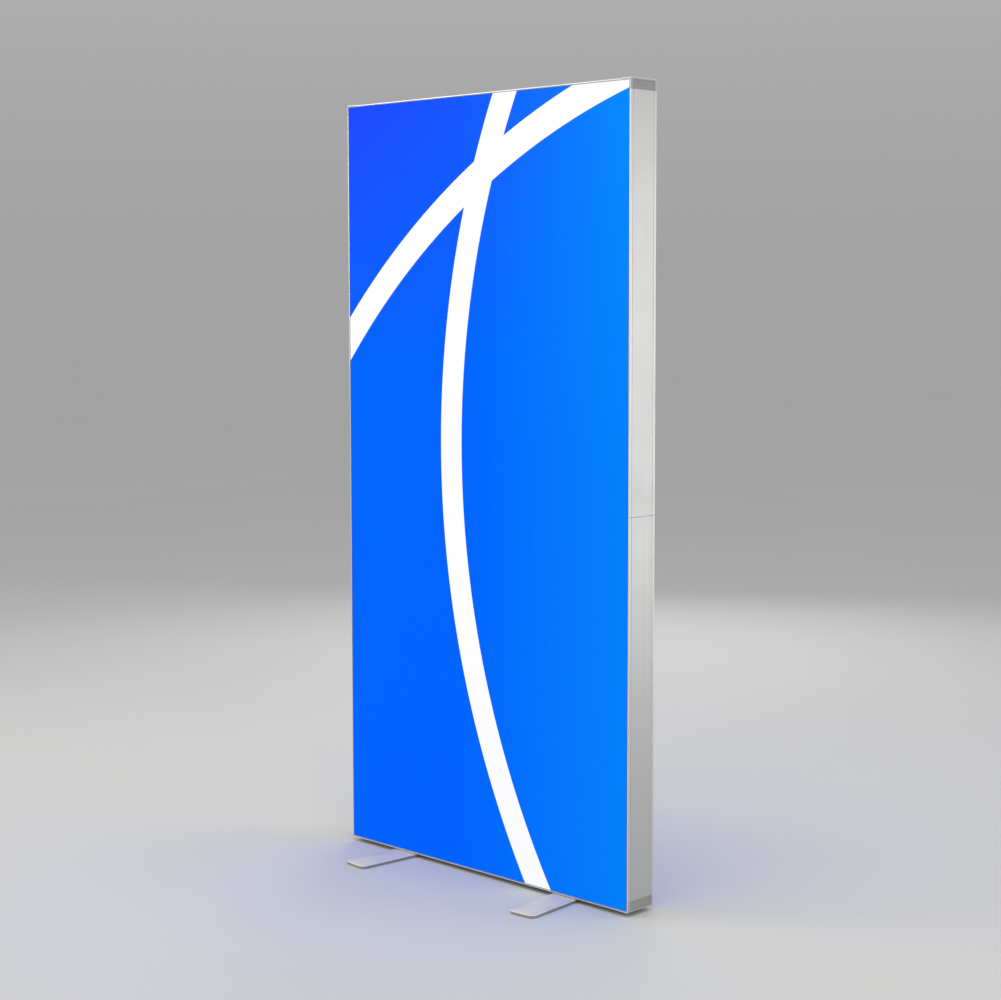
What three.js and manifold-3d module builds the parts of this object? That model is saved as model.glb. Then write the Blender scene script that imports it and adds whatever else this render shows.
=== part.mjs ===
// A freestanding, knock-down partition: a double-sided fabric lightbox on two foot plates.
//
// Units are millimetres. +Z is up, +X runs along the wall's width, and -Y is the front. The origin is
// on the floor, under the middle of the frame.
//
// Aluminium profiles and moulded corner blocks make the frame. A printed fabric skin covers each
// face, held by silicone strips in the profile's edge groove. LED rows on the bottom and top rails
// light the space between the two skins.

import * as THREE from 'three';
import { mergeVertices } from 'three/addons/utils/BufferGeometryUtils.js';
import Module from 'manifold-3d';

const wasm = await Module();
wasm.setup();

// ---- Driving dimensions -------------------------------------------------------------------------

const FRAME_WIDTH = 1000;
const FRAME_HEIGHT = 2000;
const FRAME_DEPTH = 95;
const SEAM_HEIGHT = 962; // from the frame's underside to the seam in each upright

const FIT = 0.3; // clearance between pieces that touch or slide together
const SEAM_GAP = 1; // between an upright's two lengths
const PAST = 1; // how far a cutter runs past a face, or a joined piece into its neighbour

// Profile section: X runs inwards from its outer face, Y across the frame's depth.
const HALF_DEPTH = FRAME_DEPTH / 2;
const PROFILE_THICKNESS = 25;
const LIP = 2.5; // outer wall, whose edges show as a bright border round each skin
const LIP_EASE = 0.5;
const GROOVE_WIDTH = 3.5;
const GROOVE_DEPTH = 16;
const SUPPORT_WALL = 1.6; // inner side of the groove, which the skin rests on
const SUPPORT_DROP = 1.5;
const WALL = 2;
const SCORE_INSET = 9; // fine score lines on the outer face, from its front and rear edges
const SCORE_WIDTH = 1.2;
const SCORE_DEPTH = 0.7;
const RIB_INSET = 13; // two ribs on the inner face keep the LED board and the leads in place
const RIB_WIDTH = 1.4;
const RIB_HEIGHT = 1.2;

const FLOOR_Y = HALF_DEPTH - GROOVE_DEPTH;
const CHAMBER_Y = FLOOR_Y - WALL;
const CHAMBER_TOP = PROFILE_THICKNESS - WALL;
const SUPPORT_INNER = LIP + GROOVE_WIDTH + SUPPORT_WALL;

// Corner blocks, and the sprung snap button in each one's upright tongue.
const BLOCK = 27;
const BLOCK_RADIUS = 2;
const CAP_STEP = 2; // a top block stands this much above the top rail
const PANEL = { border: 5, depth: 1 }; // recessed panel on a block's outer face, open at the upright
const TONGUE = 55;
const TONGUE_CHAMFER = 4;
const BUTTON_REACH = 35; // from the block's end to the button's axis
const BUTTON_POCKET = { radius: 5.8, floor: 8 };
const BUTTON = { stem: 4.2, flange: 5.4, spigot: 2.3 }; // radii
const BUTTON_DEPTH = { proud: 2.6, flange: 2.5, spigot: 3, dome: 1.2 };
const BUTTON_CLEARANCE = 0.4;
const SPRING = { inner: 2.8, outer: 4.6 }; // radii

const SPLICE_LENGTH = 120;
const SPLICE_WALL = 3;

// Cross bar and the brackets that it drops into.
const BAR_SIZE = 20;
const BAR_WALL = 1.5;
const BAR_HEIGHT = 1080;
const BRACKET = { plate: 2, width: 24, reach: 20, below: 18, above: 22, cheek: 5 };

// Fabric skins and their edge strips.
const SKIN_SET_BACK = 0.3;
const SKIN_THICKNESS = 0.8;
const STRIP = { thickness: 3, depth: 13.5 };

// LED rows.
const BOARD = { length: 900, width: 24, thickness: 1.6 };
const CONNECTOR = { length: 14, width: 12, height: 5.4 };
const OPTIC = { width: 16, base: 1.5, shelf: 1, height: 8.5, lens: 10, pitch: 62, count: 14 };

// LED driver and its tray.
const DRIVER = { bottom: 215, length: 190, width: 46, body: 21, fin: 4, fins: 7 };
const TRAY = { plate: 2, lip: 12, width: 40, overhang: 15 };
const DRIVER_BACK = PROFILE_THICKNESS + RIB_HEIGHT + FIT + TRAY.plate + FIT;

// Mains inlet with its rocker switch, in the outer face of the left upright.
const INLET_HEIGHT = 130;
const INLET = { depth: 20, width: 26.6, height: 46.6, flange: 2, flangeWidth: 31, flangeHeight: 56 };
const SOCKET = { width: 24, low: -20, high: -3.5, chamfer: 4.5, depth: 14 };
const SWITCH_POCKET = { width: 21.4, low: 6, high: 20, depth: 12 };
const ROCKER = { pivot: 3, length: 18.4, crown: 6, dip: 2, base: 4, foot: 2, tilt: 8 };
const TRUNNION = { radius: 1.5, clearance: 0.4, reach: 0.8, bore: 1.2 };
const PIN = { width: 2, height: 4, tip: 2 };
const PIN_PLACES = [[0, -9.75], [-7, -13.75], [7, -13.75]];
const CONTACT_PLATE = { gap: FIT, thickness: 1.5, width: 18, low: -17, high: -7 };
const LEAD_LEVEL = INLET_HEIGHT - 12; // the mains lead's level at the back of the contacts

// Leads inside the frame.
const MAINS_LEAD_RADIUS = 2.5;
const LED_LEAD_RADIUS = 2;
const GROMMET_RADIUS = 3.6;
const LEAD_EXIT = 13.5; // from the back of the driver to the leads in its ends
const RISER_Y = 22;
const RISER_X = 30.8;
const RISER_JOINT = { bottom: 1000, length: 32, width: 10, depth: 8.4 };
const RISER_COLLAR = { length: 4, width: 13, depth: 7.4 };

// Foot plates and their fixings.
const FOOT_X = 286;
const FOOT_SPLAY = 4.8; // degrees that each foot's front tip is turned outwards
const FOOT = { length: 438, width: 78, thickness: 8, radius: 15, bevel: 2.5, raise: 1 };
const PAD = { width: 60, length: 18, thickness: 2.2, recess: 1.5, inset: 22 };
const WASHER_GAP = 2;
const WASHER = { inner: 4.4, outer: 15, thickness: 1.6 };
const SCREW = { shaft: 4, clearance: 0.5, head: 8, headBottom: 1.6, end: 21.8 };
const SCREW_HEX = { radius: 2.9, depth: 2.4 };
const NUT_PLATE = { size: 50, thickness: 6, hole: 4.3 };

const FRAME_BASE = FOOT.raise + FOOT.thickness + WASHER_GAP;

// ---- Finishes -----------------------------------------------------------------------------------

const FINISHES = {
  anodised: { color: 0xc9cbcd, roughness: 0.38, metalness: 0.9 },
  moulding: { color: 0x9b9c9c, roughness: 0.55, metalness: 0 },
  print: { color: 0x0a66fa, roughness: 0.85, metalness: 0 },
  silicone: { color: 0xe6e8ea, roughness: 0.5, metalness: 0 },
  steel: { color: 0x9fa3a7, roughness: 0.35, metalness: 1 },
  coated: { color: 0xcfd1d3, roughness: 0.45, metalness: 0.35 },
  board: { color: 0xf2f4f2, roughness: 0.5, metalness: 0 },
  lens: { color: 0xdfeaf2, roughness: 0.1, metalness: 0 },
  driver: { color: 0xb8babc, roughness: 0.4, metalness: 0.7 },
  black: { color: 0x17181a, roughness: 0.4, metalness: 0 },
  brass: { color: 0xc6a24e, roughness: 0.3, metalness: 1 },
  sheath: { color: 0xe9e9e6, roughness: 0.6, metalness: 0 },
  rubber: { color: 0x1c1c1c, roughness: 0.9, metalness: 0 },
  nylon: { color: 0xeeeeea, roughness: 0.6, metalness: 0 },
};

// ---- Solids -------------------------------------------------------------------------------------

const X = new THREE.Vector3(1, 0, 0);
const Y = new THREE.Vector3(0, 1, 0);
const Z = new THREE.Vector3(0, 0, 1);
const CYCLES = { x: [Y, Z, X], y: [Z, X, Y], z: [X, Y, Z] };

function toSolid(geometry) {
  const bare = geometry.clone();
  bare.deleteAttribute('normal');
  bare.deleteAttribute('uv');
  const merged = mergeVertices(bare);
  const triVerts = new Uint32Array(merged.index.array);
  const vertProperties = merged.attributes.position.array;
  return new wasm.Manifold(new wasm.Mesh({ numProp: 3, vertProperties, triVerts }));
}

function toGeometry(solid) {
  const mesh = solid.getMesh();
  const geometry = new THREE.BufferGeometry();
  geometry.setAttribute('position', new THREE.BufferAttribute(mesh.vertProperties, 3));
  geometry.setIndex(new THREE.BufferAttribute(mesh.triVerts, 1));
  const faceted = geometry.toNonIndexed();
  faceted.computeVertexNormals();
  return faceted;
}

function cut(geometry, ...cutters) {
  let solid = toSolid(geometry);
  for (const cutter of cutters) solid = solid.subtract(toSolid(cutter));
  return toGeometry(solid);
}

function join(geometry, ...others) {
  let solid = toSolid(geometry);
  for (const other of others) solid = solid.add(toSolid(other));
  return toGeometry(solid);
}

// A box between two corners, given as a range along each axis.
function box([x0, x1], [y0, y1], [z0, z1]) {
  const geometry = new THREE.BoxGeometry(x1 - x0, y1 - y0, z1 - z0);
  return geometry.translate((x0 + x1) / 2, (y0 + y1) / 2, (z0 + z1) / 2);
}

// A range of the given width about a middle.
function about(middle, width) {
  return [middle - width / 2, middle + width / 2];
}

// Turns a shape drawn along Z so that it lies along the named axis.
function turnTo(axis, geometry) {
  return geometry.applyMatrix4(new THREE.Matrix4().makeBasis(...CYCLES[axis]));
}

// A prism along the named axis. Its points are [y, z] along x, [z, x] along y and [x, y] along z.
function prism(axis, points, [from, to], hole) {
  const shape = new THREE.Shape(points.map(([a, b]) => new THREE.Vector2(a, b)));
  if (hole) shape.holes.push(new THREE.Path(hole.map(([a, b]) => new THREE.Vector2(a, b))));
  const geometry = new THREE.ExtrudeGeometry(shape, { depth: to - from, bevelEnabled: false });
  return turnTo(axis, geometry.translate(0, 0, from));
}

// A rod or cone along the named axis, through a point of the other two axes in the same order.
function rod(axis, [a, b], radius, [from, to], { endRadius = radius, sides = 24 } = {}) {
  const geometry = new THREE.CylinderGeometry(endRadius, radius, to - from, sides);
  geometry.rotateX(Math.PI / 2).translate(a, b, (from + to) / 2);
  return turnTo(axis, geometry);
}

// A body turned about the Z axis, from [radius, height] points that end on the axis.
function turned(points, sides) {
  const geometry = new THREE.LatheGeometry(points.map(([r, h]) => new THREE.Vector2(r, h)), sides);
  return geometry.rotateX(Math.PI / 2);
}

function rectangle([x0, x1], [y0, y1]) {
  return [[x0, y0], [x1, y0], [x1, y1], [x0, y1]];
}

function piece(name, geometry, finish) {
  const mesh = new THREE.Mesh(geometry, new THREE.MeshStandardMaterial(FINISHES[finish]));
  mesh.name = name;
  return mesh;
}

function group(...members) {
  const made = new THREE.Group();
  for (const member of members) made.add(member);
  return made;
}

// ---- Aluminium profile --------------------------------------------------------------------------

// The half of the section from the outer face's middle, round the front groove, to the inner ribs.
function halfSection() {
  const score = HALF_DEPTH - SCORE_INSET;
  const supportEdge = HALF_DEPTH - SUPPORT_DROP;
  const groove = LIP + GROOVE_WIDTH;
  const ribTop = PROFILE_THICKNESS + RIB_HEIGHT;
  return [
    [0, score - SCORE_WIDTH / 2],
    [SCORE_DEPTH, score],
    [0, score + SCORE_WIDTH / 2],
    [0, HALF_DEPTH - LIP_EASE],
    [LIP_EASE, HALF_DEPTH],
    [LIP, HALF_DEPTH],
    [LIP, FLOOR_Y],
    [groove, FLOOR_Y],
    [groove, supportEdge],
    [SUPPORT_INNER, supportEdge],
    [SUPPORT_INNER, FLOOR_Y],
    [PROFILE_THICKNESS, FLOOR_Y],
    [PROFILE_THICKNESS, RIB_INSET + RIB_WIDTH],
    [ribTop, RIB_INSET + RIB_WIDTH],
    [ribTop, RIB_INSET],
    [PROFILE_THICKNESS, RIB_INSET],
  ];
}

// A length of profile along Z, with its outer face at X = 0 and its inner face towards +X.
function profile(range) {
  const half = halfSection();
  const mirrored = half.map(([x, y]) => [x, -y]).reverse();
  const chamber = rectangle([LIP, CHAMBER_TOP], [-CHAMBER_Y, CHAMBER_Y]);
  return prism('z', [...half, ...mirrored], range, chamber);
}

// ---- Corner block -------------------------------------------------------------------------------

// The block's outer corner, rounded where its two outer faces meet, as [z, x] points.
function blockOutline() {
  const steps = 4;
  const corner = [];
  for (let i = 0; i <= steps; i++) {
    const angle = (Math.PI / 2) * (i / steps);
    corner.push([BLOCK_RADIUS * (1 - Math.sin(angle)), BLOCK_RADIUS * (1 - Math.cos(angle))]);
  }
  return [...corner, [0, BLOCK], [BLOCK, BLOCK], [BLOCK, 0]];
}

// What is cut from a block's front or rear: the skin's bed, the groove and the space for light.
function faceCuts(side, step) {
  const beyond = BLOCK + TONGUE;
  const outside = HALF_DEPTH + PAST;
  const depth = (inner) => (side > 0 ? [inner, outside] : [-outside, -inner]);
  const low = LIP + step;
  return [
    box([LIP, beyond], depth(HALF_DEPTH - SUPPORT_DROP), [low, beyond]),
    box([LIP, LIP + GROOVE_WIDTH], depth(FLOOR_Y), [low, beyond]),
    box([LIP, beyond], depth(FLOOR_Y), [low, low + GROOVE_WIDTH]),
    box([SUPPORT_INNER, beyond], depth(FLOOR_Y), [SUPPORT_INNER + step, beyond]),
  ];
}

// A tongue's plan, as [across, along] points with its tip chamfered.
function tonguePlan() {
  const half = CHAMBER_Y - FIT;
  const tip = BLOCK + TONGUE;
  const shoulder = tip - TONGUE_CHAMFER;
  const root = BLOCK - PAST;
  const narrow = half - TONGUE_CHAMFER;
  return [[-half, root], [half, root], [half, shoulder], [narrow, tip], [-narrow, tip], [-half, shoulder]];
}

// A bottom left block, from its outer corner at the origin. A top block has its rail `step` lower.
function cornerBlock(step) {
  const [thin, thick] = [LIP + FIT, CHAMBER_TOP - FIT];
  const body = prism('y', blockOutline(), [-HALF_DEPTH, HALF_DEPTH]);
  const cuts = [...faceCuts(1, step), ...faceCuts(-1, step)];
  const panelWidth = FRAME_DEPTH - 2 * SCORE_INSET;
  const panel = box([-PAST, PANEL.depth], about(0, panelWidth), [PANEL.border, BLOCK + PAST]);
  const uprightTongue = prism('x', tonguePlan(), [thin, thick]);
  const railPlan = tonguePlan().map(([across, along]) => [along, across]);
  const railTongue = prism('z', railPlan, [thin + step, thick + step]);
  const pocket = rod('x', [0, BLOCK + BUTTON_REACH], BUTTON_POCKET.radius, [BUTTON_POCKET.floor, BLOCK]);
  return cut(join(cut(body, ...cuts, panel), uprightTongue, railTongue), pocket);
}

// ---- Snap button --------------------------------------------------------------------------------

// The button's flange bears on the inside of the upright's inner wall, and its stem shows through.
const FLANGE_FRONT = CHAMBER_TOP - BUTTON_CLEARANCE;
const FLANGE_BACK = FLANGE_FRONT - BUTTON_DEPTH.flange;

function snapButton() {
  const back = FLANGE_BACK - BUTTON_DEPTH.spigot;
  const tip = PROFILE_THICKNESS + BUTTON_DEPTH.proud;
  return turnTo('x', turned([
    [0, back],
    [BUTTON.spigot, back],
    [BUTTON.spigot, FLANGE_BACK],
    [BUTTON.flange, FLANGE_BACK],
    [BUTTON.flange, FLANGE_FRONT],
    [BUTTON.stem, FLANGE_FRONT],
    [BUTTON.stem, tip - BUTTON_DEPTH.dome],
    [BUTTON.stem - BUTTON_DEPTH.dome, tip],
    [0, tip],
  ], 16));
}

function buttonSpring() {
  const range = [BUTTON_POCKET.floor + FIT, FLANGE_BACK - FIT];
  const round = { sides: 12 };
  const coil = rod('x', [0, 0], SPRING.outer, range, round);
  return cut(coil, rod('x', [0, 0], SPRING.inner, [0, BLOCK], round));
}

// ---- One side of the frame ----------------------------------------------------------------------

// Both uprights stand the same way in a group of their own: X inwards, Z up from the frame's base.
function side(name, inletCuts) {
  const members = group();
  const holeRadius = BUTTON.stem + BUTTON_CLEARANCE;
  const buttonHole = (z) => rod('x', [0, z], holeRadius, [CHAMBER_TOP - PAST, BLOCK]);
  const bottomButton = BLOCK + BUTTON_REACH;
  const topButton = FRAME_HEIGHT - bottomButton;
  const lowerEnd = SEAM_HEIGHT - SEAM_GAP / 2;
  const upperEnd = SEAM_HEIGHT + SEAM_GAP / 2;
  const lower = cut(profile([BLOCK + FIT, lowerEnd]), buttonHole(bottomButton), ...inletCuts);
  const upper = cut(profile([upperEnd, FRAME_HEIGHT - BLOCK - FIT]), buttonHole(topButton));
  members.add(piece(`${name}_upright_lower`, lower, 'anodised'));
  members.add(piece(`${name}_upright_upper`, upper, 'anodised'));
  members.add(piece(`${name}_splice`, splice(), 'steel'));
  members.add(piece(`${name}_crossbar_bracket`, crossbarBracket(), 'steel'));

  const ends = { bottom: { step: 0, button: bottomButton }, top: { step: CAP_STEP, button: topButton } };
  for (const [end, { step, button }] of Object.entries(ends)) {
    const block = piece(`${name}_${end}_corner_block`, cornerBlock(step), 'moulding');
    if (end === 'top') {
      block.position.z = FRAME_HEIGHT;
      block.rotation.x = Math.PI;
    }
    const snap = piece(`${name}_${end}_snap_button`, snapButton(), 'black');
    const spring = piece(`${name}_${end}_button_spring`, buttonSpring(), 'steel');
    snap.position.z = button;
    spring.position.z = button;
    members.add(block, snap, spring);
  }
  return members;
}

function splice() {
  const inset = LIP + FIT;
  const outer = rectangle([inset, CHAMBER_TOP - FIT], about(0, 2 * (CHAMBER_Y - FIT)));
  const across = about(0, 2 * (CHAMBER_Y - FIT - SPLICE_WALL));
  const inner = rectangle([inset + SPLICE_WALL, CHAMBER_TOP - FIT - SPLICE_WALL], across);
  return prism('z', outer, about(SEAM_HEIGHT, SPLICE_LENGTH), inner);
}

function crossbarBracket() {
  const face = PROFILE_THICKNESS + FIT;
  const seat = BAR_HEIGHT - BAR_SIZE / 2 - FIT;
  const reach = [face, face + BRACKET.reach];
  const cheek = [BAR_SIZE / 2 + FIT, BRACKET.width / 2];
  const cheekHeight = [seat - BRACKET.plate, BAR_HEIGHT + BRACKET.cheek];
  const plateHeight = [BAR_HEIGHT - BRACKET.below, BAR_HEIGHT + BRACKET.above];
  return join(
    box([face, face + BRACKET.plate], about(0, BRACKET.width), plateHeight),
    box(reach, about(0, BRACKET.width), [seat - BRACKET.plate, seat]),
    box(reach, cheek, cheekHeight),
    box(reach, cheek.map((y) => -y).reverse(), cheekHeight),
  );
}

// ---- Rails and cross bar ------------------------------------------------------------------------

const RAIL_LENGTH = FRAME_WIDTH - 2 * (BLOCK + FIT);

function rail(name, screwHoles) {
  return piece(name, cut(profile([0, RAIL_LENGTH]), ...screwHoles), 'anodised');
}

function rails() {
  const reach = [-PAST, LIP + PAST];
  const radius = SCREW.shaft + SCREW.clearance;
  const holes = [-FOOT_X, FOOT_X].map((x) => rod('x', [0, RAIL_LENGTH / 2 + x], radius, reach));
  const bottom = rail('bottom_rail', holes);
  bottom.position.x = RAIL_LENGTH / 2;
  bottom.rotation.y = -Math.PI / 2;
  const top = rail('top_rail', []);
  top.position.set(-RAIL_LENGTH / 2, 0, FRAME_HEIGHT - CAP_STEP);
  top.rotation.y = Math.PI / 2;
  return group(bottom, top);
}

function crossbar() {
  const length = FRAME_WIDTH - 2 * (PROFILE_THICKNESS + FIT + BRACKET.plate + FIT);
  const outer = rectangle(about(0, BAR_SIZE), about(BAR_HEIGHT, BAR_SIZE));
  const hollow = BAR_SIZE - 2 * BAR_WALL;
  const inner = rectangle(about(0, hollow), about(BAR_HEIGHT, hollow));
  return piece('crossbar', prism('x', outer, about(0, length), inner), 'anodised');
}

// ---- Fabric skins -------------------------------------------------------------------------------

// A skin on the front (side -1) or the rear (side 1), with the strip sewn along each of its edges.
function skin(name, side) {
  const top = FRAME_HEIGHT - CAP_STEP;
  const inset = LIP + FIT;
  const face = HALF_DEPTH - SKIN_SET_BACK;
  const layer = (from, depth) => about(side * (from - depth / 2), depth);
  const sheetY = layer(face, SKIN_THICKNESS);
  const stripY = layer(face - SKIN_THICKNESS - FIT, STRIP.depth);
  const half = FRAME_WIDTH / 2 - inset;
  const sheet = box([-half, half], sheetY, [inset, top - inset]);

  const stripHalf = half - STRIP.thickness;
  const low = inset + STRIP.thickness;
  const high = top - low;
  const strips = {
    bottom: box([-half, half], stripY, [inset, low]),
    top: box([-half, half], stripY, [high, high + STRIP.thickness]),
    left: box([-half, -stripHalf], stripY, [low + FIT, high - FIT]),
    right: box([stripHalf, half], stripY, [low + FIT, high - FIT]),
  };
  const pieces = Object.entries(strips).map(([edge, geometry]) =>
    piece(`${name}_${edge}_edge_strip`, geometry, 'silicone'));
  return group(piece(`${name}_skin`, sheet, 'print'), ...pieces);
}

// ---- LED rows -----------------------------------------------------------------------------------

const BOARD_LOW = FIT;
const BOARD_TOP = BOARD_LOW + BOARD.thickness;
const CONNECTOR_MIDDLE = BOARD_TOP + CONNECTOR.height / 2;

// A row stands on its rail's inner face, with Z towards the middle of the frame.
function ledRow(name) {
  const half = BOARD.length / 2;
  const connectorHeight = [BOARD_LOW, BOARD_TOP + CONNECTOR.height];
  const board = join(
    box([-half, half], about(0, BOARD.width), [BOARD_LOW, BOARD_TOP]),
    box([-half, CONNECTOR.length - half], about(0, CONNECTOR.width), connectorHeight),
  );
  const middle = CONNECTOR.length / 2;
  const stripLow = BOARD_TOP + FIT;
  const stripTop = stripLow + OPTIC.base;
  const stripLength = OPTIC.pitch * OPTIC.count;
  const strip = box(about(middle, stripLength), about(0, OPTIC.width), [stripLow, stripTop]);
  const lenses = [];
  for (let i = 0; i < OPTIC.count; i++) {
    const x = middle + (i - (OPTIC.count - 1) / 2) * OPTIC.pitch;
    lenses.push(lens(stripTop).translate(x, 0, 0));
  }
  return group(
    piece(`${name}_led_board`, board, 'board'),
    piece(`${name}_led_optics`, join(strip, ...lenses), 'lens'),
  );
}

// One lens: half an ellipse across the row, drawn along it.
function lens(base) {
  const steps = 6;
  const arch = [];
  for (let i = 0; i <= steps; i++) {
    const angle = Math.PI * (i / steps);
    const across = (OPTIC.width / 2 - OPTIC.shelf) * Math.cos(angle);
    arch.push([across, base - PAST + OPTIC.height * Math.sin(angle)]);
  }
  return prism('x', arch, about(0, OPTIC.lens));
}

// ---- LED driver ---------------------------------------------------------------------------------

// A finned case: its fins stand along its length, on the side away from the upright.
function driverCase() {
  const half = DRIVER.width / 2;
  const shoulder = DRIVER_BACK + DRIVER.body;
  const pitch = DRIVER.width / (2 * DRIVER.fins - 1);
  const tip = shoulder + DRIVER.fin;
  const points = [[DRIVER_BACK, -half]];
  for (let i = 0; i < DRIVER.fins; i++) {
    const y = -half + 2 * i * pitch;
    points.push([tip, y], [tip, y + pitch]);
    if (i < DRIVER.fins - 1) points.push([shoulder, y + pitch], [shoulder, y + 2 * pitch]);
  }
  points.push([DRIVER_BACK, half]);
  return prism('z', points, [DRIVER.bottom, DRIVER.bottom + DRIVER.length]);
}

function driverTray() {
  const back = PROFILE_THICKNESS + RIB_HEIGHT + FIT;
  const front = back + TRAY.plate;
  const tip = back + TRAY.lip;
  const low = DRIVER.bottom - TRAY.overhang;
  const high = DRIVER.bottom + DRIVER.length + TRAY.overhang;
  const outline = [
    [low, back],
    [high, back],
    [high, tip],
    [high - TRAY.plate, tip],
    [high - TRAY.plate, front],
    [low + TRAY.plate, front],
    [low + TRAY.plate, tip],
    [low, tip],
  ];
  return prism('y', outline, about(0, TRAY.width));
}

// ---- Mains inlet --------------------------------------------------------------------------------

// Ranges up the inlet, from heights about its middle.
function up(low, high) {
  return [INLET_HEIGHT + low, INLET_HEIGHT + high];
}

function inletCuts() {
  const outerWall = [-PAST, LIP + PAST];
  const innerWall = [CHAMBER_TOP - PAST, PROFILE_THICKNESS + PAST];
  return [
    box(outerWall, about(0, INLET.width + 2 * FIT), about(INLET_HEIGHT, INLET.height + 2 * FIT)),
    rod('x', [0, LEAD_LEVEL], GROMMET_RADIUS, innerWall),
  ];
}

// The box that a pin fills, or with a clearance the slot that it passes through.
function pinBox(clearance) {
  return ([y, z]) => box(
    [PIN.tip, INLET.depth + PAST],
    about(y, PIN.width + 2 * clearance),
    about(INLET_HEIGHT + z, PIN.height + 2 * clearance),
  );
}

// The socket's outline as [y, z] points, with its two corners on the earth blade's side cut off.
function socketOutline() {
  const half = SOCKET.width / 2;
  const [low, high] = up(SOCKET.low, SOCKET.high);
  const shoulder = high - SOCKET.chamfer;
  const narrow = half - SOCKET.chamfer;
  return [[-half, low], [half, low], [half, shoulder], [narrow, high], [-narrow, high], [-half, shoulder]];
}

function inletHousing() {
  const front = -FIT - INLET.flange;
  const flangeHeight = about(INLET_HEIGHT, INLET.flangeHeight);
  const flange = box([front, -FIT], about(0, INLET.flangeWidth), flangeHeight);
  const body = box([-PAST, INLET.depth], about(0, INLET.width), about(INLET_HEIGHT, INLET.height));
  const pocket = up(SWITCH_POCKET.low, SWITCH_POCKET.high);
  const bore = up(SWITCH_POCKET.low - TRUNNION.bore, SWITCH_POCKET.high + TRUNNION.bore);
  const outside = front - PAST;
  return cut(
    join(flange, body),
    prism('x', socketOutline(), [outside, SOCKET.depth]),
    box([outside, SWITCH_POCKET.depth], about(0, SWITCH_POCKET.width), pocket),
    rod('z', [ROCKER.pivot, 0], TRUNNION.radius + TRUNNION.clearance, bore, { sides: 16 }),
    ...PIN_PLACES.map(pinBox(FIT)),
  );
}

// Three blades on the plate behind the housing that the mains lead is clamped to.
function inletContacts() {
  const back = INLET.depth + CONTACT_PLATE.gap;
  const height = up(CONTACT_PLATE.low, CONTACT_PLATE.high);
  const plate = box([back, back + CONTACT_PLATE.thickness], about(0, CONTACT_PLATE.width), height);
  return join(plate, ...PIN_PLACES.map(pinBox(0)));
}

// The rocker about its own pivot, level: a shallow V outside and a narrow foot inside.
function rocker() {
  const half = ROCKER.length / 2;
  const height = [SWITCH_POCKET.low + FIT, SWITCH_POCKET.high - FIT];
  const outline = [
    [-ROCKER.crown, -half],
    [ROCKER.dip - ROCKER.crown, 0],
    [-ROCKER.crown, half],
    [ROCKER.base, half],
    [ROCKER.base + ROCKER.foot, half / 2],
    [ROCKER.base + ROCKER.foot, -half / 2],
    [ROCKER.base, -half],
  ];
  const ends = [SWITCH_POCKET.low - TRUNNION.reach, SWITCH_POCKET.high + TRUNNION.reach];
  const trunnion = rod('z', [0, 0], TRUNNION.radius, ends, { sides: 12 });
  const mesh = piece('rocker_switch', join(prism('z', outline, height), trunnion), 'black');
  mesh.position.set(ROCKER.pivot, 0, INLET_HEIGHT);
  mesh.rotation.z = THREE.MathUtils.degToRad(ROCKER.tilt);
  return mesh;
}

// ---- Leads --------------------------------------------------------------------------------------

// A lead through a list of points, as an eight-sided tube.
function lead(name, radius, steps, points) {
  const sides = 8;
  const section = [];
  for (let i = 0; i < sides; i++) {
    const angle = (2 * Math.PI * i) / sides;
    section.push(new THREE.Vector2(radius * Math.cos(angle), radius * Math.sin(angle)));
  }
  const path = points.map((point) => new THREE.Vector3(...point));
  const extrudePath = new THREE.CatmullRomCurve3(path, false, 'centripetal');
  const options = { steps, bevelEnabled: false, extrudePath };
  return piece(name, new THREE.ExtrudeGeometry(new THREE.Shape(section), options), 'sheath');
}

// The leads run in the left side's group: X inwards from the upright's outer face, Z up. Their routes
// keep clear of the cross bar, the tray and the snap buttons.
function leads() {
  const driverX = DRIVER_BACK + LEAD_EXIT;
  const driverLow = DRIVER.bottom - FIT;
  const driverHigh = DRIVER.bottom + DRIVER.length + FIT;
  const contactBack = INLET.depth + CONTACT_PLATE.gap + CONTACT_PLATE.thickness + FIT;
  const boardEnd = FRAME_WIDTH / 2 - BOARD.length / 2 - FIT;
  const bottomRow = PROFILE_THICKNESS + CONNECTOR_MIDDLE;
  const topRow = FRAME_HEIGHT - CAP_STEP - bottomRow;
  const { bottom: jointLow, length: jointLength } = RISER_JOINT;
  const jointHigh = jointLow + jointLength;
  return group(
    lead('mains_lead', MAINS_LEAD_RADIUS, 20, [
      [contactBack, 0, LEAD_LEVEL],
      [contactBack + 9, 0, LEAD_LEVEL],
      [driverX - 2, -5, LEAD_LEVEL + 18],
      [driverX, -10, LEAD_LEVEL + 50],
      [driverX, -10, driverLow],
    ]),
    lead('bottom_led_lead', LED_LEAD_RADIUS, 26, [
      [driverX, 12, driverLow],
      [driverX, 12, driverLow - 30],
      [36, 12, 130],
      [34, 9, 75],
      [35, 3, 45],
      [boardEnd - 8, 0, bottomRow],
      [boardEnd, 0, bottomRow],
    ]),
    lead('lower_riser_lead', LED_LEAD_RADIUS, 34, [
      [driverX, 12, driverHigh],
      [driverX, 12, driverHigh + 22],
      [RISER_X + 5, 18, driverHigh + 50],
      [RISER_X, RISER_Y, driverHigh + 90],
      [RISER_X, RISER_Y, (driverHigh + jointLow) / 2],
      [RISER_X, RISER_Y, jointLow - FIT],
    ]),
    lead('upper_riser_lead', LED_LEAD_RADIUS, 44, [
      [RISER_X, RISER_Y, jointHigh + FIT],
      [RISER_X, RISER_Y, topRow - 500],
      [RISER_X, RISER_Y, topRow - 110],
      [34, 12, topRow - 55],
      [36, 4, topRow - 18],
      [boardEnd - 8, 0, topRow],
      [boardEnd, 0, topRow],
    ]),
  );
}

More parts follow.
